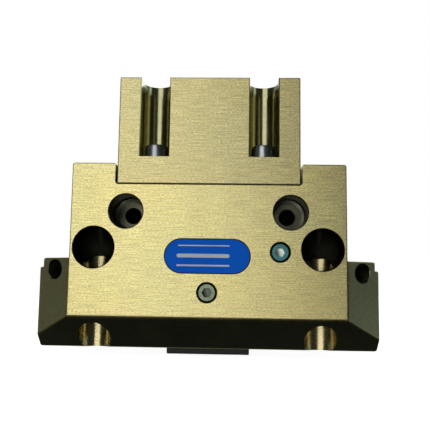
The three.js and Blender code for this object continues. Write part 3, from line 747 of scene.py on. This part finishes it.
def housing_holes():
    cutters = []
    port, tap = AIR_PORT, AIR_PORT_THREAD
    for side in BOTH:
        steps = [
            (port["radius"], port["step"]),
            (port["inner"], port["step"] + AIR_PORT_SLOPE),
            (port["inner"], port["depth"]),
            (tap["radius"] + tap["break"], port["depth"]),
            (tap["radius"], port["depth"] + tap["break"]),
        ]
        mouth = (side * port["x"], -HALF_DEPTH, port["z"])
        cutters.append(drill(mouth, (0, 1, 0), steps, 96, tip=False))
        start = port["depth"] + tap["start"]
        cutters.append(tapped(mouth, (0, 1, 0), tap["radius"], start, tap["end"]))
    for sx, sy in CORNERS:
        hole = MOUNT_HOLE
        steps = [(hole["radius"], hole["depth"])]
        mouth = (sx * hole["x"], sy * HALF_DEPTH, hole["z"])
        # the mount holes take the almost black painted shade
        cutters.append(drill(mouth, (0, -sy, 0), steps, 96, material=DEEP))
        hole = VERTICAL_HOLE
        x, y = sx * hole["x"], sy * hole["y"]
        cutters.append(upright_bar(hole["wide"], x, y, 0, hole["wide_top"], 72))
        deep_low = hole["wide_top"] - PAST
        deep_high = HOUSING_TOP - hole["mouth"] + PAST
        cutters.append(upright_bar(hole["radius"], x, y, deep_low, deep_high, 48, DEEP))
        steps = [(hole["radius"], hole["mouth"])]
        cutters.append(drill((x, y, HOUSING_TOP), (0, 0, -1), steps, 48, tip=False))
        cutters.append(wing_hole(sx, sy))
        screw = centre_mm("spring_housing_screw_1")
        x, y = sx * abs(screw.x), sy * abs(screw.y)
        low, _ = box_mm("spring_housing_screw_1")
        cutters.append(upright_bar(BLOCK_SCREW_HOLE, x, y, low.z - PAST, RECESS_FLOOR + PAST))
        screw = centre_mm("cover_screw_1")
        x, y = sx * abs(screw.x), sy * abs(screw.y)
        cutters.append(upright_bar(COVER_SCREW_HOLE, x, y, 0, JAW_GUIDE["neck_top"], 24))
    for node in ("upper_port_plug", "lower_port_plug"):
        at = centre_mm(node)
        steps = [(PLUG_HOLE["radius"], PLUG_HOLE["depth"])]
        cutters.append(drill((at.x, -HALF_DEPTH, at.z), (0, 1, 0), steps, 64))
    for node, side in (("left_passage_plug", -1), ("right_passage_plug", 1)):
        at = centre_mm(node)
        steps = [(SIDE_HOLE["radius"], SIDE_HOLE["depth"])]
        cutters.append(drill((side * FACE_HALF, at.y, at.z), (-side, 0, 0), steps, 48))
    label_low, label_high = box_mm("label_plate")
    pocket = stadium_outline(
        (label_high.x - label_low.x) / 2 + GAP,
        (label_high.z - label_low.z) / 2 + GAP,
        centre_mm("label_plate"),
    )
    # the gap round the label takes a near-black painted shadow
    cutters.append(prism(pocket, -HALF_DEPTH - PAST, label_high.y + GAP, "y", LABEL_GAP_SHADE))
    return cutters


def wing_hole(sx, sy):
    """Cutter of a threaded hole that stands square to a wing's slanted face."""
    run = HALF_WIDTH - FACE_HALF
    inward = Vector((-sx * WING_SETBACK, -sy * run, 0)).normalized()
    setback = (WING_HOLE["x"] - FACE_HALF) * WING_SETBACK / run
    mouth = Vector((sx * WING_HOLE["x"], sy * (HALF_DEPTH - setback), WING_HOLE["z"]))
    steps = thread(WING_HOLE["radius"], WING_HOLE["start"], WING_HOLE["depth"], **FINE_THREAD)
    return drill(mouth, inward, steps, 56)


def stadium_outline(half_width, half_height, centre):
    """Outline in XZ of a plate with full-round ends."""
    straight = half_width - half_height
    right = arc((centre.x + straight, centre.z), half_height, -90, 90, 24)
    left = arc((centre.x - straight, centre.z), half_height, 90, 270, 24)
    return right + left


def build_housing():
    mesh = carve(housing_blank(), cavities() + housing_holes())
    slots = [FINISHES[m] for m in ("face", "edge", "bore", "dark", "under", "label_gap_shade", "hole", "deep")]
    piece("housing_body", mesh, slots, "body", ["housing"])


# ---- spring housing ----
def build_spring_housing():
    blank = block(BLOCK_LOW, BLOCK_HIGH, FACE)
    soften(blank, EDGE_FINE).material = EDGE
    cutters = [upright_bar(BORE_RADIUS, 0, 0, BLOCK_LOW.z - PAST, BLOCK_HIGH.z - ROOF, 96)]
    for sx, sy in CORNERS:
        cutters.append(groove(sx, sy))
        x, y = sx * GROOVE["x"], sy * (HALF_DEPTH - GROOVE["axis"])
        floor = GROOVE["floor"]
        relief_top = floor + GROOVE_RELIEF["height"]
        cutters.append(upright_bar(GROOVE_RELIEF["radius"], x, y, floor, relief_top, 72))
        cutters.append(upright_bar(BLOCK_SCREW_HOLE, x, y, BLOCK_LOW.z - PAST, floor + PAST))
    mesh = carve(blank, cutters)
    slots = [FINISHES[m] for m in ("block_face", "block_edge", "block_bore")]
    piece("spring_housing_body", mesh, slots, "body", ["spring_housing"])


def groove(sx, sy):
    """Cutter of a vertical screw groove: straight sides, half-round end, broken outer edges."""
    x, radius = sx * GROOVE["x"], GROOVE["radius"]
    axis_y = HALF_DEPTH - GROOVE["axis"]
    outline = [
        (x - radius - MOUTH - PAST, HALF_DEPTH + PAST),
        (x - radius, HALF_DEPTH - MOUTH),
        *arc((x, axis_y), radius, 180, 360, 40),
        (x + radius, HALF_DEPTH - MOUTH),
        (x + radius + MOUTH + PAST, HALF_DEPTH + PAST),
    ]
    outline = [(px, sy * py) for px, py in outline]
    return prism(outline, GROOVE["floor"], BLOCK_HIGH.z + PAST, "z")


# ---- screws, plugs and rings ----
def hexagon_cutter(width, top, depth, direction, origin):
    """Socket cutter, width across flats, cut down from the height top along direction."""
    radius = width / 2 / math.cos(math.pi / 6)
    floor = top - depth
    profile = [(0, floor - radius * 0.3), (radius, floor), (radius, top + PAST), (0, top + PAST)]
    return turned(profile, 6, origin, direction)


def screw_end(radius, length):
    """Profile points of the far end of a screw, its edge broken."""
    across, along = SCREW_POINT
    return [(0, -length), (radius - across, -length), (radius, -length + along)]


def cap_screw(node, size, direction=(0, 0, 1)):
    """Socket-head screw in the place of its CAD node; the head looks along direction."""
    radius, head_radius, head_height = size["radius"], size["head_radius"], size["head_height"]
    flutes = size["flutes"]
    low, high = box_mm(node)
    at = (low + high) / 2
    total = high.z - low.z
    shank = total - head_height
    up = direction[2] > 0
    origin = (at.x, at.y, low.z + shank if up else high.z - shank)
    profile = [
        *screw_end(radius, shank),
        (radius, 0),
        (head_radius - 0.1, 0),
        (head_radius, 0.1),
        *[(head_radius * across, head_height * along) for across, along in HEAD_ROUND],
        (0, head_height),
    ]
    blank = turned(profile, 96 if flutes else 48, origin, direction, 0)
    depth = head_height * HEAD_SOCKET_DEPTH
    cutter = hexagon_cutter(size["socket"], head_height, depth, direction, origin)
    mesh = carve(blank, [cutter])
    if flutes:
        knurl(mesh, Vector(origin), head_radius, head_height, flutes)
    piece(f"{node}_fine", mesh, [FINISHES["screw"]] * 3, "body", [node])


def knurl(mesh, origin, outer, height, flutes):
    """Fine vertical flutes on the rim of a screw head."""
    for vertex in mesh.vertices:
        offset = vertex.co - origin
        reach = math.hypot(offset.x, offset.y)
        if reach < outer - 0.05 or not 0.05 < offset.z < height - 0.3:
            continue
        wave = KNURL_DEPTH * (1 + math.cos(flutes * math.atan2(offset.y, offset.x)))
        vertex.co.x -= offset.x / reach * wave
        vertex.co.y -= offset.y / reach * wave


def plug_screw(node, size, direction, finishes):
    """Headless socket screw; its outer face looks along direction."""
    low, high = box_mm(node)
    at = (low + high) / 2
    out = Vector(direction)
    length = abs((high - low).dot(out))
    face = at + out * length / 2
    radius = size["radius"] + PLUG_CREST
    rim = SCREW_POINT[0]
    profile = [*screw_end(radius, length), (radius, -rim), (radius - rim, 0), (0, 0)]
    blank = turned(profile, 64, face, direction, 0)
    ring = radius * PLUG_FACE
    for polygon in blank.data.polygons:
        away = polygon.center - face
        along = away.dot(out)
        across = (away - out * along).length
        polygon.material_index = 1 if across > ring else 0
    depth = radius * PLUG_SOCKET_DEPTH
    mesh = carve(blank, [hexagon_cutter(size["socket"], 0, depth, direction, face)])
    piece(f"{node}_fine", mesh, [FINISHES[m] for m in finishes], "body", [node])


def build_fasteners():
    for i in range(1, 5):
        cap_screw(f"spring_housing_screw_{i}", BLOCK_SCREW)
        cap_screw(f"cover_screw_{i}", COVER_SCREW, (0, 0, -1))
    front = (0, -1, 0)
    # the upper plug's socket gets the painted highlight, the lower plug's the painted shade
    plug_screw("upper_port_plug", FRONT_PLUG, front, ("plug_teal", "plug", "socket_bright"))
    plug_screw("lower_port_plug", FRONT_PLUG, front, ("plug", "plug", "socket"))
    for node, side in (("left_passage_plug", -1), ("right_passage_plug", 1)):
        plug_screw(node, SIDE_PLUG, (side, 0, 0), ("plug", "plug", "screw"))


# ---- label ----
def build_label():
    """Blue plate with three plain pale rules in place of any print."""
    low, high = box_mm("label_plate")
    centre = centre_mm("label_plate")
    half_width, half_height = (high.x - low.x) / 2, (high.z - low.z) / 2
    face = low.y + LABEL_INSET
    plate = prism(stadium_outline(half_width, half_height, centre), face, high.y, "y", 0)
    soften(plate, LABEL_EDGE, 2).limit_method = "ANGLE"
    mesh = evaluated(plate)
    piece("label_plate_fine", mesh, [FINISHES["label"]], "body", ["label_plate"])
    for i, (x, z, half_length, half_thickness) in enumerate(LABEL_RULES, start=1):
        outline = stadium_outline(half_length, half_thickness, Vector((centre.x + x, 0, centre.z + z)))
        strip = prism(outline, face - RULE_PROUD, face + RULE_ROOT, "y", 0)
        piece(f"label_rule_{i}", evaluated(strip), [FINISHES["rule"]], "body")


# ---- cover ----
def build_cover():
    low, high = box_mm("centre_cover")
    blank = block(low, high, 0)
    soften(blank, EDGE_FINE)
    seat = [(COVER_SCREW_SEAT["radius"], COVER_SCREW_SEAT["depth"])]
    cutters = []
    for i in range(1, 5):
        at = centre_mm(f"cover_screw_{i}")
        cutters.append(upright_bar(COVER_SCREW_HOLE, at.x, at.y, low.z - PAST, high.z + PAST))
        cutters.append(drill((at.x, at.y, low.z), (0, 0, 1), seat, 40, 0.15, tip=False))
    mesh = carve(blank, cutters)
    piece("centre_cover_fine", mesh, [FINISHES["cover"]] * 3, "body", ["centre_cover"])


# ---- jaws ----
def wedge_flank(z):
    """Half width of the wedge hook's core at a height."""
    return WEDGE_CORE + (WEDGE_TOP - z) * WEDGE_SLOPE


def flank_strip(side, inner, outer, low, high):
    """Outline in XZ that follows the wedge's flank between two distances outside it."""
    points = [
        (wedge_flank(low) + inner, low),
        (wedge_flank(low) + outer, low),
        (wedge_flank(high) + outer, high),
        (wedge_flank(high) + inner, high),
    ]
    return [(side * x, z) for x, z in points]


def soft_prism(outline, reach):
    """A prism across Y with its edges broken."""
    obj = prism(outline, -reach, reach, "y", 0)
    soften(obj, JAW_EDGE, 2)
    return scratch_object(evaluated(obj))


def build_jaw(side, node, body):
    low, high = box_mm(node)
    inner, outer = JAW_NECK["inner"], max(abs(low.x), abs(high.x))
    face, neck_top, hook_top = low.z, JAW_NECK["top"], high.z
    under, floor, flange_top = JAW_FLANGE["low"], JAW_FLANGE["floor"], JAW_FLANGE["top"]
    neck_outline = [(inner, face), (outer, face), (outer, neck_top), (inner, neck_top)]
    neck = soft_prism([(side * x, z) for x, z in neck_outline], JAW_NECK["half"])
    foot, waist, tip = ((wedge_flank(z) + JAW_LIP, z) for z in (floor, flange_top, hook_top))
    flange_outline = [(inner, under), (outer, under), (outer, flange_top), waist, foot, (inner, floor)]
    flange = soft_prism([(side * x, z) for x, z in flange_outline], JAW_FLANGE["half"])
    hook_outline = [foot, (JAW_HOOK["outer"], floor), (JAW_HOOK["outer"], hook_top), tip]
    hook = soft_prism([(side * x, z) for x, z in hook_outline], JAW_HOOK["half"])
    cutters = []
    for start, end, half in RAIL_SLOTS:
        outline = flank_strip(side, start, end, floor, RAIL_SLOT_TOP)
        cutters.append(prism(outline, -half, half, "y"))
    hole = FINGER_HOLE
    steps = [
        (hole["seat"], hole["seat_depth"]),
        (hole["neck"], hole["seat_depth"]),
        *thread(hole["radius"], hole["start"], hole["end"], **FINE_THREAD),
    ]
    for x in FINGER_HOLE_X:
        cutters.append(drill((side * x, 0, face), (0, 0, 1), steps, 64, 0.2, tip=False))
    mesh = carve(neck, cutters, [flange, hook])
    slots = [FINISHES[m] for m in ("jaw", "jaw", "jaw_bore")]
    piece(f"{node}_fine", mesh, slots, body, [node])


# ---- drive, springs and seals ----
def soft_ring(inner, outer, low, high, rim=0.1):
    """Profile of a ring with square section and broken edges."""
    foot = [(inner, low + rim), (inner + rim, low), (outer - rim, low), (outer, low + rim)]
    head = [(outer, high - rim), (outer - rim, high), (inner + rim, high), (inner, high - rim)]
    return foot + head


def piston_outline(thick):
    """Profile of the piston above its foot, with grooves for seal and magnet and a screw seat."""
    radius, bore, seat = PISTON["radius"], PISTON["bore"], PISTON["seat"]
    lead, seat_floor = PISTON["lead"], thick - PISTON["seat_depth"]
    rim, fine = 0.3, 0.2
    outline = [(bore, fine), (bore + fine, 0), (radius - lead, 0), (radius, lead)]
    for root, start, end in PISTON_GROOVES:
        outline += [(radius, start), (root, start), (root, end), (radius, end)]
    outline += [(radius, thick - rim), (radius - rim, thick), (seat + fine, thick)]
    outline += [(seat, thick - fine), (seat, seat_floor), (bore, seat_floor)]
    return outline


def build_drive():
    """Piston, magnet and seals, turned finer than in the CAD frame."""
    low, high = box_mm("piston")
    base, outline = low.z, piston_outline(high.z - low.z)
    ring_piece("piston", outline, base, "piston", "drive")
    ring_piece("piston_seal", PISTON_SEAL, base, "rubber", "drive")
    ring_piece("piston_magnet", soft_ring(**PISTON_MAGNET), base, "magnet", "drive")
    low, high = box_mm("rod_seal")
    inner, outer, rim = ROD_SEAL["inner"], ROD_SEAL["outer"], 0.1
    across, along = ROD_SEAL["notch"]
    lips = [
        (inner, low.z),
        (outer - rim, low.z),
        (outer, low.z + rim),
        (outer, high.z - rim),
        (outer - rim, high.z),
        (inner, high.z),
        (inner + across, high.z - along),
    ]
    ring_piece("rod_seal", lips, 0, "rubber", "body")
    for node in ("spring_housing_seal", "air_transfer_seal"):
        low, high = box_mm(node)
        wire = (high.z - low.z) / 2
        at = (low + high) / 2
        outline = arc(((high.x - low.x) / 2 - wire, 0), wire, 0, 345, 23)
        ring_piece(node, outline, at.z, "rubber", "body", (at.x, at.y))


def ring_piece(node, outline, height, finish, body, at=(0, 0)):
    """A turned piece in the place of its CAD node."""
    obj = turned(outline, 96, (at[0], at[1], height), (0, 0, 1), 0)
    piece(f"{node}_fine", evaluated(obj), [FINISHES[finish]], body, [node])


def build_springs():
    """Round-wire coils in the places of the CAD springs."""
    for node, spring in SPRINGS.items():
        low, high = box_mm(node)
        wire = spring["wire"]
        radius = (high.x - low.x) / 2 - wire
        coil = helix(radius, wire * WIRE_SHARE, spring["turns"], low.z + wire, high.z - wire)
        mesh = evaluated(temp_object(coil))
        obj = piece(f"{node}_fine", mesh, [FINISHES["spring"]], "body", [node])
        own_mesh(obj)


def helix(radius, wire, turns, low, high, per_turn=48, sides=14):
    """A closed round wire along a helix."""
    bm = bmesh.new()
    count = turns * per_turn
    climb = (high - low) / (2 * math.pi * turns)
    rings = []
    for i in range(count + 1):
        a = 2 * math.pi * turns * i / count
        outward = Vector((math.cos(a), math.sin(a), 0))
        along = Vector((-radius * math.sin(a), radius * math.cos(a), climb)).normalized()
        across = along.cross(outward)
        middle = outward * radius + Vector((0, 0, low + climb * a))
        ring = []
        for k in range(sides):
            t = 2 * math.pi * k / sides
            ring.append(bm.verts.new(middle + wire * (outward * math.cos(t) + across * math.sin(t))))
        rings.append(ring)
    for first, second in zip(rings, rings[1:]):
        for k in range(sides):
            j = (k + 1) % sides
            bm.faces.new((first[k], first[j], second[j], second[k]))
    bm.faces.new(rings[0])
    bm.faces.new(rings[-1])
    return bm


def finish_cad_node(node, finish):
    """A CAD node that keeps its shape gets its material."""
    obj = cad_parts[node]
    obj.data.materials.clear()
    obj.data.materials.append(FINISHES[finish])


# ---- stage, light and camera ----
def area_light(name, azimuth, elevation, size, radiance, colour):
    """A soft panel on a sphere round the object, turned towards it."""
    azimuth, elevation = math.radians(azimuth), math.radians(elevation)
    direction = Vector((
        math.sin(azimuth) * math.cos(elevation),
        -math.cos(azimuth) * math.cos(elevation),
        math.sin(elevation),
    ))
    data = bpy.data.lights.new(name, "AREA")
    data.shape = "RECTANGLE"
    data.size, data.size_y = size
    data.energy = math.pi * size[0] * size[1] * radiance
    data.color = colour
    obj = bpy.data.objects.new(name, data)
    obj.location = LIGHT_TARGET + direction * LIGHT_DISTANCE
    obj.rotation_euler = (-direction).to_track_quat("-Z", "Y").to_euler()
    bpy.context.scene.collection.objects.link(obj)


def build_floor():
    """A pale, faintly glowing floor, pale out to the horizon and clear from below."""
    bm = bmesh.new()
    bmesh.ops.create_circle(bm, cap_ends=True, segments=96, radius=FLOOR_RADIUS)
    mesh = bpy.data.meshes.new("floor")
    bm.to_mesh(mesh)
    bm.free()
    floor = bpy.data.objects.new("floor", mesh)
    floor.location.z = cad_low.z - FLOOR_DROP
    bpy.context.scene.collection.objects.link(floor)
    n = Nodes("pale_floor")
    n.set(Base_Color=(0.9, 0.9, 0.9, 1), Roughness=0.9)
    n.set(Emission_Color=(1, 1, 1, 1), Emission_Strength=FLOOR_GLOW)
    clear = n.add("ShaderNodeBsdfTransparent")
    side = n.add("ShaderNodeNewGeometry")
    mix = n.add("ShaderNodeMixShader")
    n.link(side, "Backfacing", mix, 0)
    n.link(n.shader, "BSDF", mix, 1)
    n.link(clear, "BSDF", mix, 2)
    n.link(mix, "Shader", n.output, "Surface")
    mesh.materials.append(n.material)
    floor.visible_glossy = False
    floor.visible_diffuse = False
    floor.visible_shadow = False


def build_world():
    """White in view; as light it is grey, darker straight below and brighter behind."""
    world = bpy.data.worlds.new("studio")
    bpy.context.scene.world = world
    world.use_nodes = True
    tree = world.node_tree
    tree.nodes.clear()

    def add(kind, **settings):
        node = tree.nodes.new(kind)
        for key, value in settings.items():
            setattr(node, key, value)
        return node

    def graded(source, stops):
        ranged = add("ShaderNodeMapRange", interpolation_type="SMOOTHSTEP")
        for socket, value in zip(("From Min", "From Max", "To Min", "To Max"), stops):
            ranged.inputs[socket].default_value = value
        tree.links.new(source, ranged.inputs["Value"])
        return ranged.outputs["Result"]

    direction = add("ShaderNodeTexCoord")
    parts = add("ShaderNodeSeparateXYZ")
    tree.links.new(direction.outputs["Generated"], parts.inputs[0])
    strength = add("ShaderNodeMath", operation="MULTIPLY")
    tree.links.new(graded(parts.outputs["Z"], (-0.95, -0.4, WORLD_BELOW, 1.0)), strength.inputs[0])
    tree.links.new(graded(parts.outputs["Y"], (-0.2, 0.6, WORLD_FRONT, WORLD_BACK)), strength.inputs[1])
    seen = add("ShaderNodeBackground")
    seen.inputs["Color"].default_value = (1, 1, 1, 1)
    lit = add("ShaderNodeBackground")
    lit.inputs["Color"].default_value = (*WORLD_TINT, 1)
    tree.links.new(strength.outputs[0], lit.inputs["Strength"])
    path = add("ShaderNodeLightPath")
    mix = add("ShaderNodeMixShader")
    output = add("ShaderNodeOutputWorld")
    tree.links.new(path.outputs["Is Camera Ray"], mix.inputs["Fac"])
    tree.links.new(lit.outputs[0], mix.inputs[1])
    tree.links.new(seen.outputs[0], mix.inputs[2])
    tree.links.new(mix.outputs[0], output.inputs["Surface"])


def build_lights():
    for light in LIGHTS:
        area_light(*light)
    bpy.context.scene.view_settings.view_transform = "Standard"


def build_camera():
    data = bpy.data.cameras.new("camera")
    data.sensor_width = CAMERA["sensor"]
    data.lens = CAMERA["lens"]
    camera = bpy.data.objects.new("camera", data)
    camera.location = CAMERA["place"]
    camera.rotation_euler = [math.radians(angle) for angle in CAMERA["turn"]]
    data.clip_start = 0.01
    data.clip_end = 20
    bpy.context.scene.collection.objects.link(camera)
    bpy.context.scene.camera = camera


build_camera()
build_floor()
build_world()
build_lights()
build_housing()
build_spring_housing()
build_fasteners()
build_label()
build_cover()
build_jaw(-1, "base_jaw_left", "left_jaw")
build_jaw(1, "base_jaw_right", "right_jaw")
build_drive()
build_springs()
finish_cad_node("wedge_hook", "wedge")
finish_cad_node("piston_screw", "screw")

bpy.context.view_layer.update()
